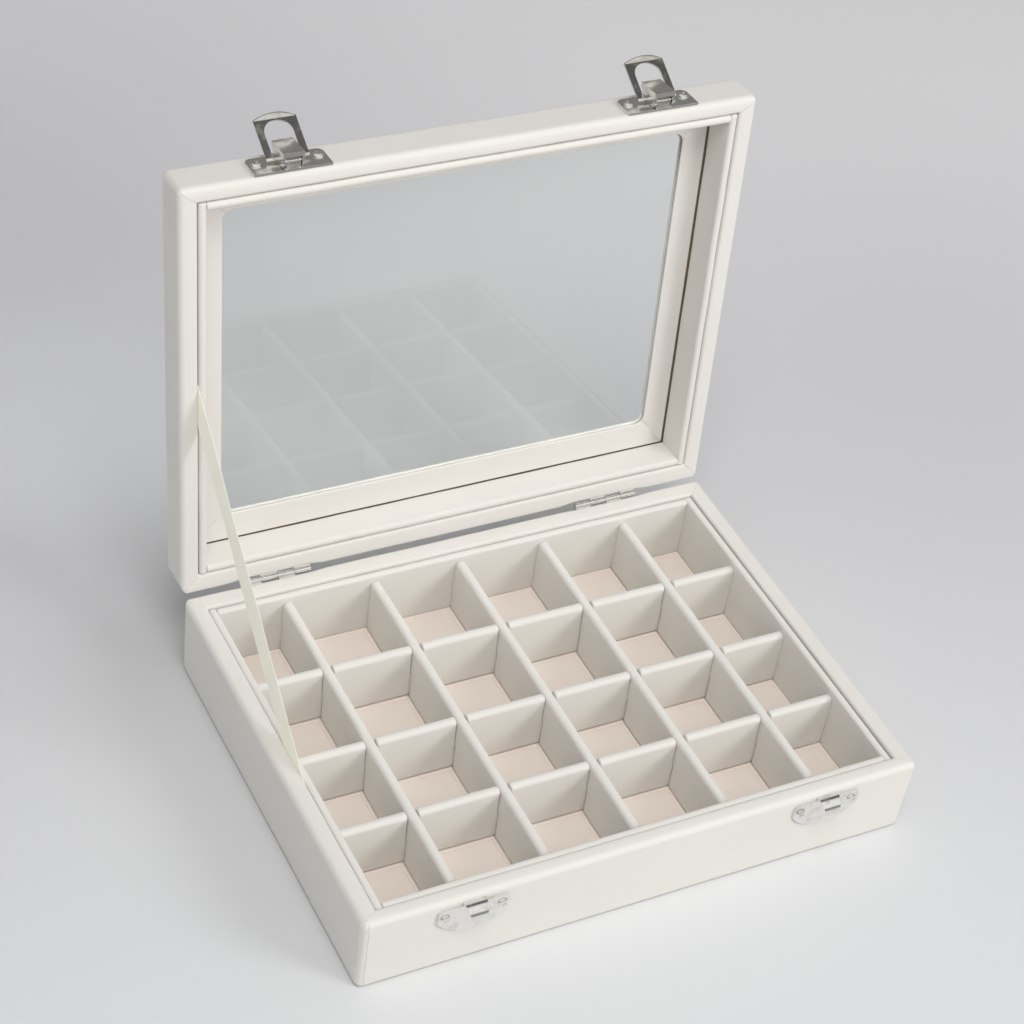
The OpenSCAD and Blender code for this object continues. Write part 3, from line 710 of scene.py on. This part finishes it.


# A brighter copy of the velvet: painted light, so that the floors between the dividers look as lit as the rim.
floor_velvet = velvet_finish("floor_velvet", rgb(237, 225, 215), rgb(243, 232, 223))
pad_lo, pad_hi = corners("floor_pad")
column_x = [sum(v.x for v in corners("column_divider_%d" % i)) / 2 for i in range(1, 6)]
row_y = [sum(v.y for v in corners("row_divider_%d" % i)) / 2 for i in (3, 2, 1)]
first_lo, first_hi = corners("column_divider_1")
divider_half = (first_hi.x - first_lo.x) / 2
lines_x, faces_x = floor_lines(pad_lo.x, pad_hi.x, column_x, divider_half)
lines_y, faces_y = floor_lines(pad_lo.y, pad_hi.y, row_y, divider_half)
crown_most = 0.55
swelling = None
swelling = swell(pad_lo, pad_hi, faces_x, faces_y, pitch=2.6, most=crown_most)


def rise_at(x, y):
    """How far the pad stands up at a place."""
    if swelling is None:
        middle = 15
        dx, dy = near_edge(x, faces_x) / middle, near_edge(y, faces_y) / middle
        return crown_most * math.sqrt(max(min(dx, 1) * min(dy, 1), 0))
    xs, ys, heights = swelling
    i = min(int((x - xs[0]) / (xs[1] - xs[0])), len(xs) - 2)
    j = min(int((y - ys[0]) / (ys[1] - ys[0])), len(ys) - 2)
    s, t = (x - xs[i]) / (xs[1] - xs[0]), (y - ys[j]) / (ys[1] - ys[0])
    low, high = heights[j], heights[j + 1]
    return (low[i] * (1 - s) + low[i + 1] * s) * (1 - t) + (high[i] * (1 - s) + high[i + 1] * s) * t


def curl(d):
    """The pad dips at a divider's foot, and again beside the curled strip of cloth there."""
    return -0.45 * math.exp(-(d / 0.25) ** 2) - 0.3 * math.exp(-((d - 1.15) / 0.2) ** 2)


top = []
for y in lines_y:
    for x in lines_x:
        d = min(near_edge(x, faces_x), near_edge(y, faces_y))
        top.append((x, y, pad_hi.z + curl(d) + rise_at(x, y)))
top = uneven(top, size=12, amount=0.05, seed=3)
wide, deep = len(lines_x), len(lines_y)
border = grid_rim(wide, deep)
foot = [(top[k][0], top[k][1], pad_lo.z + 0.02) for k in border]
pad_faces = [(j * wide + i, j * wide + i + 1, (j + 1) * wide + i + 1, (j + 1) * wide + i)
             for j in range(deep - 1) for i in range(wide - 1)]
for n, k in enumerate(border):
    m = (n + 1) % len(border)
    pad_faces.append((k, len(top) + n, len(top) + m, border[m]))
pad_faces.append(tuple(range(len(top), len(top) + len(border))))
floor_velvet_pad = piece("velvet_floor_pad", top + foot, pad_faces, floor_velvet)
dress(floor_velvet_pad, "base", "floor_pad")


# The dividers. They are strips of board in padded velvet. The three rows are notched from
# above and the five columns from below, and halve into each other over the floor pad.
divider_r = 1.35
divider_end = 0.6
notch_play, notch_gap = 0.1, 0.45
middle_z = (first_lo.z + first_hi.z) / 2
row_notches = [(x - divider_half - notch_gap * 0.6, x + divider_half + notch_gap)
               for x in column_x]
column_notches = [(y - divider_half - notch_gap, y + divider_half + notch_play) for y in row_y]
for kind, count, along, notches, seed in (("row", 3, 0, row_notches, 20),
                                          ("column", 5, 1, column_notches, 30)):
    for i in range(count):
        node = "%s_divider_%d" % (kind, i + 1)
        lo, hi = corners(node)
        strip = padded_strip("%s_strip_%d" % (kind, i + 1), lo, hi, along, divider_r,
                             divider_end, seed + i, notches, kind == "row", middle_z,
                             bulge=0.12)
        dress(strip, "base", node)


# The catches. Each is one stamping of nickel-plated steel: a D-shaped plate, whose middle is
# bent out and down into a hook. Tumbling before plating has rounded the cut edges.
def nickel_finish():
    """Bright plate over pressed steel: faint rolling lines and handling marks."""
    made = Finish("nickel", Metallic=1.0)
    lines = made.noise(1.0, 2, 0.5, at=made.scaled(made.point(), (300, 4000, 4000)))
    marks = made.noise(260, 4, 0.6)
    smear = marks.rise(0.45, 0.7)
    return made.set(Base_Color=made.mix(smear, rgb(243, 242, 238), rgb(226, 223, 216)),
                    Roughness=0.12 + smear * 0.1 + lines * 0.06,
                    Normal=made.bump(lines * 0.4 + marks * 0.6, 0.00001, 0.5))


nickel = nickel_finish()


def plated(name, node, body, ease, reshape=None):
    """A copy of a CAD node with its triangles joined and its cut edges rounded by ease."""
    same_point, flat, cut_angle = 1e-6, 1.5, 32
    work = bmesh.new()
    work.from_mesh(frame["nodes"][node].data)
    bmesh.ops.remove_doubles(work, verts=work.verts, dist=same_point)
    if reshape:
        reshape(work)
    bmesh.ops.dissolve_limit(work, angle_limit=math.radians(flat), verts=work.verts,
                             edges=work.edges)
    if ease:
        cut = [e for e in work.edges
               if e.is_manifold and e.calc_face_angle(0) > math.radians(cut_angle)]
        bmesh.ops.bevel(work, geom=cut, offset=ease * MM, segments=2, profile=0.5,
                        affect="EDGES", clamp_overlap=True)
    mesh = bpy.data.meshes.new(name)
    work.to_mesh(mesh)
    work.free()
    shade(mesh, smooth_below=30)
    mesh.materials.append(nickel)
    made = bpy.data.objects.new(name, mesh)
    scene.collection.objects.link(made)
    weighted = made.modifiers.new("shading", "WEIGHTED_NORMAL")
    weighted.keep_sharp = True
    dress(made, body, node)


for side in ("left", "right"):
    plated("plated_catch_" + side, "catch_" + side, "base", ease=0.09)


# The hinges. Each has two leaves of thin plated steel with rolled knuckles, on a pin that is
# riveted at its ends. The leaves are screwed to the back of the base and of the lid.
for side in ("left", "right"):
    plated("base_leaf_" + side, "hinge_base_leaf_" + side, "base", ease=0)
    plated("lid_leaf_" + side, "hinge_lid_leaf_" + side, "lid", ease=0)
    coat("hinge_pin_" + side, nickel)


# The velvet over the lid. One strip runs round the lid's rails, over foam that rounds both
# edges, down to the slot inside and up over the top to the window.
joint = [j for j in frame["joints"] if j["name"] == "lid_hinge"][0]
axis_at = Vector(joint["pos_m"])
open_lid = Matrix.Translation(axis_at) @ \
    Matrix.Rotation(-math.radians(joint["range_deg"][1]), 4, "X") @ Matrix.Translation(-axis_at)
lid_lo, lid_hi = corners("lid_wrap", open_lid)
card_lo, card_hi = corners("window_card", open_lid)
glass_top = corners("glass_pane", open_lid)[1].z


def window_edge():
    """Half width, front and back of the window, from the upward edges round its hole."""
    margin = 5
    spots = cad_points("window_card", open_lid)
    inside = spots[(abs(spots[:, 0]) < card_hi.x - margin) & (spots[:, 1] > card_lo.y + margin)
                   & (spots[:, 1] < card_hi.y - margin)]
    return inside[:, 0].max(), inside[:, 1].min(), inside[:, 1].max()


window_r = 3.0
window = window_edge()
lip = 0.3
lid_edges = {"out": ((half_w, -half_d, half_d), edge_r),
             "in": ((inner_w, -inner_d, inner_d), 0.3),
             "window": ((window[0] - lip, window[1] + lip, window[2] - lip), window_r)}
rim, lid_top = lid_lo.z, lid_hi.z
lip_r = 0.4
slot_r = 1.1
lid_line = (upright("in", 0, card_lo.z + 0.1, rim + slot_r + 0.6)
            + arc("in", slot_r, rim + slot_r, slot_r, 180, 270)
            + [("in", slot_r + 0.5, rim - 0.04), ("out", -edge_r - 0.9, rim - 0.06)]
            + arc("out", -edge_r, rim + edge_r, edge_r, -90, 0)
            + upright("out", 0, rim + edge_r + 0.6, lid_top - edge_r - 0.6)
            + arc("out", -edge_r, lid_top - edge_r, edge_r, 0, 90)
            + [("out", -6, lid_top + 0.03), ("window", 7, lid_top + 0.03), ("window", 2, lid_top)]
            + arc("window", lip_r, lid_top - lip_r, lip_r, 90, 180, 4)
            + [("window", 0, glass_top + 0.1), ("window", 0.3, glass_top - 0.2),
               ("window", 3, glass_top - 0.2)])
lid_rings = skin(lid_line, lid_edges, skin_t * 0.9)
fold_mitres(lid_rings, [i for i in range(len(lid_line)) if lid_line[i][2] < rim + 1.0], fold_depth)
fuller_back(lid_rings, lid_line, rim, -1, 1.7)
lid_rings = [uneven(one, size=26, amount=0.10, seed=2) for one in lid_rings]
lid_velvet = hoop("velvet_over_lid", lid_rings, velvet, open_lid)
dress(lid_velvet, "lid", "lid_wrap")


# The liner strips of the lid. They are board in padded velvet like those of the base, stand a
# slot's width inside the rails, and hold the window card down at their far edge.
lid_liner_r = 1.1
for n, side in enumerate(("front", "back", "left", "right")):
    lo, hi = corners("lid_%s_liner" % side, open_lid)
    flip = Matrix.Translation(Vector((0, 0, (lo.z + hi.z) * MM))) @ Matrix.Scale(-1, 4, (0, 0, 1))
    strip = padded_strip("lid_%s_strip" % side, lo, hi, long_axis(lo, hi), lid_liner_r,
                         LINER_END_R, seed=40 + n, turn=open_lid @ flip)
    strip.data.flip_normals()
    dress(strip, "lid", "lid_%s_liner" % side)


# The window card. A card frame in velvet lies inside the lid over the glass's edge. The velvet
# is folded at its corners, and the card is cut a little short at the right and at the hinges.
side_face = corners("lid_right_liner", open_lid)[0].x
end_face = corners("lid_back_liner", open_lid)[0].y
card_shift = -0.3
card_at = (side_face - 0.4, -end_face + 0.1, end_face - 0.35)
card_edges = {"card": (card_at, 0.4), "fold": (card_at, 8), "window": (window, window_r)}
card_z0, card_z1 = card_lo.z, card_hi.z
card_line = [("card", 0, card_z0 + 0.25), ("card", -0.25, card_z0), ("fold", -3, card_z0 - 0.05),
             ("window", 5, card_z0 - 0.06), ("window", 1.2, card_z0 - 0.02),
             ("window", 0.4, card_z0 + 0.04), ("window", 0.1, card_z0 + 0.2),
             ("window", 0.0, card_z0 + 0.4), ("window", 0.15, card_z1 - 0.02),
             ("card", -0.2, card_z1 - 0.02)]
card_rings = []
for kind, off, z in card_line:
    (w, y0, y1), r = card_edges[kind]
    shift = 0.0 if kind == "window" else card_shift
    card_rings.append([(x + shift, y, z) for x, y, z in
                       ring(w + off, y0 - off, y1 + off, max(r + off, 0.3), z)])
fold_mitres(card_rings, range(1, 6), fold_depth * 1.2)
card_rings = [uneven(one, size=30, amount=0.06, seed=5) for one in card_rings]
window_frame = hoop("velvet_window_card", card_rings, velvet, open_lid)
dress(window_frame, "lid", "window_card")


# The glass. A plain pane with ground edges lies in the lid's rebate. It shows a little green
# where it is cut.
def glass_finish():
    made = Finish("glass", IOR=1.46, Transmission_Weight=1.0, Base_Color=rgb(252, 254, 253))
    made.set(Roughness=0.01 + made.noise(60, 3, 0.5).rise(0.5, 0.8) * 0.05)
    clear = made.node("ShaderNodeBsdfTransparent", values={"Color": (0.93, 0.95, 0.94, 1)},
                      out="BSDF")
    made.over(clear, made.node("ShaderNodeLightPath", out="Is Shadow Ray"))
    return made.material


coat("glass_pane", glass_finish())


# The latches. A pressed plate on the lid has two ears that hold the lever's pin. The lever is
# a bent channel, and the wire-footed loop turns in it and draws down over the catch's hook.
def open_mouth(work):
    """Trims the turned-down front of a lever, so that its mouth stands open."""
    edge_y, trim = -half_d - 3.6, 1.1
    back = open_lid.inverted()
    for v in work.verts:
        x, y, z = (back @ v.co) / MM
        if abs(y - edge_y) < 0.05 and z < rim + 2:
            v.co = open_lid @ (Vector((x, y - trim, z)) * MM)


for side in ("left", "right"):
    plated("plated_latch_" + side, "latch_plate_" + side, "lid", ease=0.09)
    plated("plated_lever_" + side, "lever_" + side, "lever_" + side, ease=0.12,
           reshape=open_mouth)
    plated("plated_loop_" + side, "loop_" + side, "loop_" + side, ease=0.09)
    coat("lever_pin_" + side, nickel)


# The screws. Plated pan heads with a cross recess hold the hinges, the catches and the
# latches, each turned home at its own angle.
class Build(Graph):
    """A geometry tree that takes named sizes."""

    def __init__(self, name, sizes):
        super().__init__(bpy.data.node_groups.new(name, "GeometryNodeTree"))
        self.tree.interface.new_socket("Geometry", in_out="OUTPUT",
                                       socket_type="NodeSocketGeometry")
        self.tree.interface.new_socket("Places", in_out="INPUT",
                                       socket_type="NodeSocketGeometry")
        self.keys = {}
        for label, value in sizes.items():
            kind = "NodeSocketMaterial" if value is None else "NodeSocketFloat"
            made = self.tree.interface.new_socket(label, in_out="INPUT", socket_type=kind)
            self.keys[label] = made.identifier
        self.given = self.tree.nodes.new("NodeGroupInput")

    def take(self, label):
        return Socket(self, self.given.outputs[label])

    def give(self, shape):
        last = self.tree.nodes.new("NodeGroupOutput")
        self.tree.links.new(shape.link, last.inputs["Geometry"])


def screw_tree(sizes):
    """Pan heads: a ball pressed to a low dome, less a cross, on a shank, at each place."""
    build = Build("pan head screws", sizes)
    r, h = build.take("Head radius"), build.take("Head height")
    ball = build.node("GeometryNodeMeshUVSphere", values={"Segments": 40, "Rings": 22, "Radius": r})
    x, y, z = build.parts(build.node("GeometryNodeInputPosition"))
    k = (z / r) * (z / r)
    dome = (1 - (1 - k) * (1 - k)).root() * h
    upper = build.node("ShaderNodeMath", {"operation": "GREATER_THAN"}, (z, 0.0))
    spot = build.node("ShaderNodeCombineXYZ", values=(x, y, dome * upper - (1 - upper) * 0.00002))
    head = build.node("GeometryNodeSetPosition", values={"Geometry": ball, "Position": spot})
    cross = []
    for turn in (0.0, math.pi / 2):
        size = build.node("ShaderNodeCombineXYZ", values=(
            r * 1.15, build.take("Recess width"), build.take("Recess depth") * 2))
        bar = build.node("GeometryNodeMeshCube", values={"Size": size})
        at = build.node("ShaderNodeCombineXYZ", values=(0.0, 0.0, h))
        cross.append(build.node("GeometryNodeTransform", values={
            "Geometry": bar, "Translation": at, "Rotation": (0.0, 0.0, turn)}))
    cut = build.node("GeometryNodeMeshBoolean", {"operation": "DIFFERENCE", "solver": "EXACT"},
                     {"Mesh 1": head, "Mesh 2": cross})
    length = build.take("Shank length")
    rod = build.node("GeometryNodeMeshCylinder", values={
        "Vertices": 24, "Radius": build.take("Shank radius"), "Depth": length})
    down = build.node("ShaderNodeCombineXYZ", values=(0.0, 0.0, length * -0.5))
    shank = build.node("GeometryNodeTransform", values={"Geometry": rod, "Translation": down})
    screw = build.node("GeometryNodeJoinGeometry", values={"Geometry": [cut, shank]})
    turn = build.node("GeometryNodeInputNamedAttribute", {"data_type": "FLOAT_VECTOR"},
                      {"Name": "turn"})
    placed = build.node("GeometryNodeInstanceOnPoints", values={
        "Points": build.take("Places"), "Instance": screw, "Rotation": turn})
    real = build.node("GeometryNodeRealizeInstances", values={"Geometry": placed})
    build.give(build.node("GeometryNodeSetMaterial", values={
        "Geometry": real, "Material": build.take("Metal")}))
    return build


screw_sizes = {"Head radius": 1.9, "Head height": 0.8, "Recess width": 0.5,
               "Recess depth": 0.42, "Shank radius": 0.8, "Shank length": 4.0}
screws = screw_tree(dict(screw_sizes, Metal=None))


def screw_places(node, turn, outward):
    """Where each screw of a node has its head's seat, from the CAD solids."""
    spots = cad_points(node, turn)
    order = spots[spots[:, 0].argsort()]
    breaks = np.where(np.diff(order[:, 0]) > 2)[0] + 1
    head = screw_sizes["Head height"]
    places = []
    for group in np.split(order, breaks):
        lo, hi = group.min(0), group.max(0)
        seat = lo[1] + head if outward < 0 else hi[1] - head
        places.append(Vector(((lo[0] + hi[0]) / 2, seat, (lo[2] + hi[2]) / 2)))
    return places


def screw_set(name, node, body, outward, seed, turn=None):
    """The screws of a CAD node, each with its own turn, facing outward along Y."""
    places = screw_places(node, turn, outward)
    mesh = bpy.data.meshes.new(name)
    matrix = turn or Matrix.Identity(4)
    mesh.from_pydata([matrix @ (p * MM) for p in places], [], [])
    turns = mesh.attributes.new("turn", "FLOAT_VECTOR", "POINT")
    for i in range(len(places)):
        spin = Matrix.Rotation(0.35 + 1.1 * i + 0.7 * seed, 3, "Z")
        face = Vector((0, outward, 0)).to_track_quat("Z", "Y").to_matrix()
        turns.data[i].vector = (matrix.to_3x3() @ face @ spin).to_euler()
    holder = bpy.data.objects.new(name, mesh)
    scene.collection.objects.link(holder)
    step = holder.modifiers.new("screws", "NODES")
    step.node_group = screws.tree
    for label, value in screw_sizes.items():
        step[screws.keys[label]] = value * MM
    step[screws.keys["Metal"]] = nickel
    made = bpy.data.meshes.new_from_object(
        holder.evaluated_get(bpy.context.evaluated_depsgraph_get()))
    holder.modifiers.clear()
    holder.data = made
    shade(made, smooth_below=35)
    dress(holder, body, node)


screw_set("screws_of_catches", "catch_screws", "base", -1, seed=0)
screw_set("screws_of_base_leaves", "base_hinge_screws", "base", 1, seed=1)
screw_set("screws_of_lid_leaves", "lid_hinge_screws", "lid", 1, seed=2, turn=open_lid)
screw_set("screws_of_latches", "latch_screws", "lid", -1, seed=3, turn=open_lid)


# The ribbon. A woven satin ribbon with firm edges is glued into the left slots of the base
# and of the lid, and stops the lid.
def ribbon_finish():
    """Satin weave with firm edges. Light comes through it, and a painted glow brightens it."""
    pick_pitch, end_pitch = 0.28, 0.2
    # The emission is a painted glow: the ribbon lights itself, standing in for light coming through it.
    made = Finish("ribbon", Roughness=0.42, Specular_IOR_Level=0.8, Sheen_Weight=0.4,
                  Emission_Color=rgb(232, 230, 216), Emission_Strength=0.22)
    across, along, _ = made.parts(made.node("ShaderNodeUVMap", {"uv_map": "weave"}, out="UV"))
    picks = (along * (2 * math.pi / pick_pitch)).wave() * 0.5 + 0.5
    ends = (across * (2 * math.pi / end_pitch)).wave() * 0.5 + 0.5
    edge = (across - 5.5).size().rise(4.7, 4.95)
    tone = picks * 0.35 + ends * 0.15 + edge * 0.5
    made.over(made.node("ShaderNodeBsdfTranslucent", values={"Color": rgb(248, 247, 240)},
                        out="BSDF"), 0.4)
    return made.set(Base_Color=made.mix(tone, rgb(232, 232, 220), rgb(246, 246, 237)),
                    Normal=made.bump(picks * 0.5 + ends * 0.3 + edge, 0.00004, 0.6))


ribbon_w, ribbon_t = 11.0, 0.3
tuck_base, tuck_lid = 10.0, 7.0
out_base, out_lid = 81.5, 73.5
hinge_y = axis_at.y / MM
ribbon_x = (corners("ribbon_stay")[0].x + corners("ribbon_stay")[1].x) / 2
from_base = Vector((ribbon_x, hinge_y - out_base, base_top))
to_lid = (open_lid @ (Vector((ribbon_x, hinge_y - out_lid, rim)) * MM)) / MM
way = (to_lid - from_base).normalized()
side_way = Vector((0, -way.z, way.y))
ribbon_l = (to_lid - from_base).length + tuck_base + tuck_lid
steps_l, steps_w = 88, 12
spots, weave = [], []
for face in (-1, 1):
    for i in range(steps_l + 1):
        s = ribbon_l * i / steps_l
        share = (s - tuck_base) / (ribbon_l - tuck_base - tuck_lid)
        free = math.sin(math.pi * min(max(share, 0), 1))
        for j in range(steps_w + 1):
            a = ribbon_w * (j / steps_w - 0.5)
            thin = 1.0 if 0 < j < steps_w else 0.45
            ripple = 0.10 * free * math.sin(s / 9 + a / 4)
            spot = from_base + way * (s - tuck_base) + side_way * a
            spots.append(spot + Vector((face * ribbon_t / 2 * thin + ripple, 0, 0)))
            weave.append((a + ribbon_w / 2, s))
layer = (steps_l + 1) * (steps_w + 1)
row = steps_w + 1
ribbon_faces = []
for i in range(steps_l):
    for j in range(steps_w):
        k = i * row + j
        ribbon_faces.append((k, k + row, k + row + 1, k + 1))
        ribbon_faces.append((k + layer, k + layer + 1, k + layer + row + 1, k + layer + row))
for i in range(steps_l):
    for j in (0, steps_w):
        k = i * row + j
        ribbon_faces.append((k, k + row, k + row + layer, k + layer))
for j in range(steps_w):
    for i in (0, steps_l):
        k = i * row + j
        ribbon_faces.append((k, k + 1, k + 1 + layer, k + layer))
ribbon = piece("satin_ribbon", spots, ribbon_faces, ribbon_finish())
uv = ribbon.data.uv_layers.new(name="weave")
for corner in ribbon.data.loops:
    uv.data[corner.index].uv = weave[corner.vertex_index]
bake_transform(ribbon)
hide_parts("ribbon_stay")
